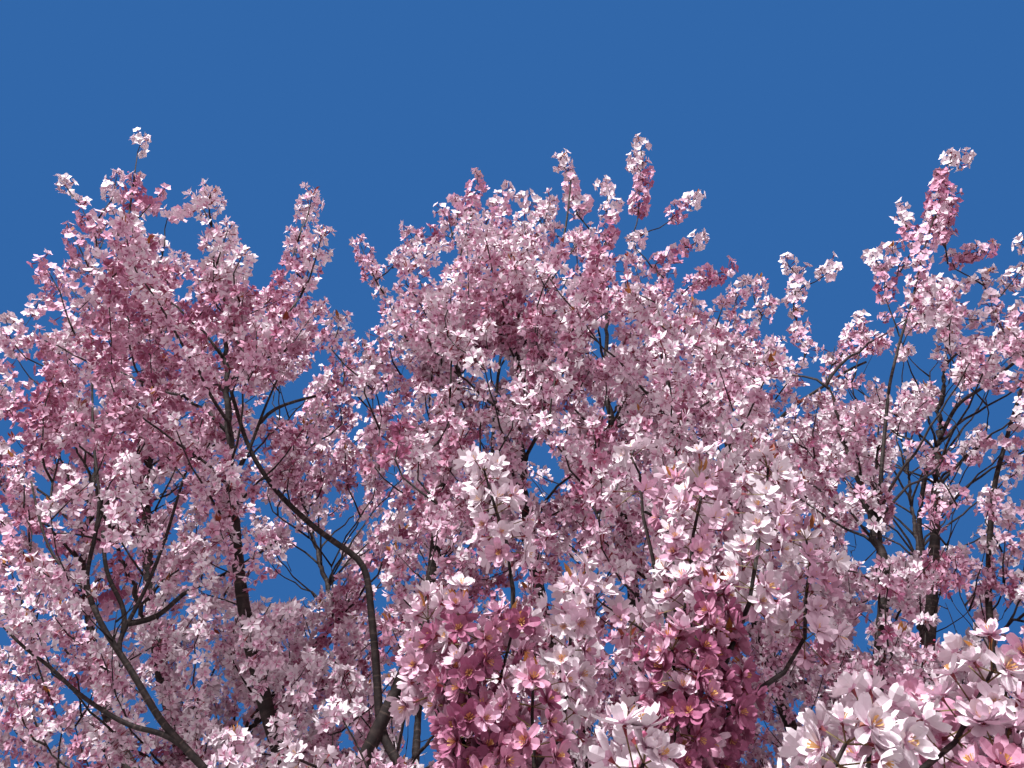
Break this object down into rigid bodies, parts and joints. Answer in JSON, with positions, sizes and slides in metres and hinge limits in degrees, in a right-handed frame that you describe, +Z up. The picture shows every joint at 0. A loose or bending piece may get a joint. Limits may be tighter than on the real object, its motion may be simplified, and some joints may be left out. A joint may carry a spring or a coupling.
{
  "type": "flowering cherry tree",
  "caption": "Small rooted cherry tree in spring blossom: a short forking trunk, steep spreading boughs and an open crown of pink flower masses.",
  "frame": {"origin": "centre of the flat cut under the trunk, at ground level", "axes": "+Z up, +X to the right of the picture and +Y away from its camera"},
  "size_m": [4.4368, 3.7073, 4.0816],
  "materials": {
    "bark": "dull dark grey-brown bark with fine cross bands",
    "blossom_mid": "matte pink petals",
    "blossom_rose": "matte pink petals",
    "blossom_pale": "matte pink petals",
    "blossom_deep": "matte pink petals"
  },
  "bodies": {
    "root": {"trunk": "bark", "bough_left": "bark", "bough_left_front": "bark", "bough_front": "bark", "bough_right_front": "bark", "bough_right": "bark", "bough_right_back": "bark", "bough_back": "bark", "bough_left_back": "bark", "bough_middle": "bark", "bough_near": "bark", "bough_left_fork": "bark", "bough_left_front_fork": "bark", "bough_front_fork": "bark", "bough_right_front_fork": "bark", "bough_right_fork": "bark", "bough_right_back_fork": "bark", "bough_back_fork": "bark", "bough_left_back_fork": "bark", "blossom_left_top": "blossom_rose", "blossom_left_front_top": "blossom_pale", "blossom_front_top": "blossom_deep", "blossom_right_front_top": "blossom_mid", "blossom_right_top": "blossom_rose", "blossom_right_back_top": "blossom_pale", "blossom_back_top": "blossom_deep", "blossom_left_back_top": "blossom_mid", "blossom_middle_top": "blossom_rose", "blossom_near_top": "blossom_pale", "blossom_left_fork_top": "blossom_deep", "blossom_left_front_fork_top": "blossom_mid", "blossom_front_fork_top": "blossom_rose", "blossom_right_front_fork_top": "blossom_pale", "blossom_right_fork_top": "blossom_deep", "blossom_right_back_fork_top": "blossom_mid", "blossom_back_fork_top": "blossom_rose", "blossom_left_back_fork_top": "blossom_pale", "blossom_left_low": "blossom_deep", "blossom_left_side": "blossom_rose", "blossom_left_inner": "blossom_deep", "blossom_front_low": "blossom_rose", "blossom_right_front_low": "blossom_pale", "blossom_right_low": "blossom_deep", "blossom_right_side": "blossom_rose", "blossom_right_inner": "blossom_deep", "blossom_right_back_low": "blossom_mid", "blossom_right_back_side": "blossom_pale", "blossom_back_low": "blossom_rose", "blossom_back_side": "blossom_deep", "blossom_back_inner": "blossom_rose", "blossom_left_back_low": "blossom_pale", "blossom_left_back_side": "blossom_mid", "blossom_left_back_inner": "blossom_pale", "blossom_near_left": "blossom_deep", "blossom_near_right": "blossom_mid"}
  },
  "joints": []
}
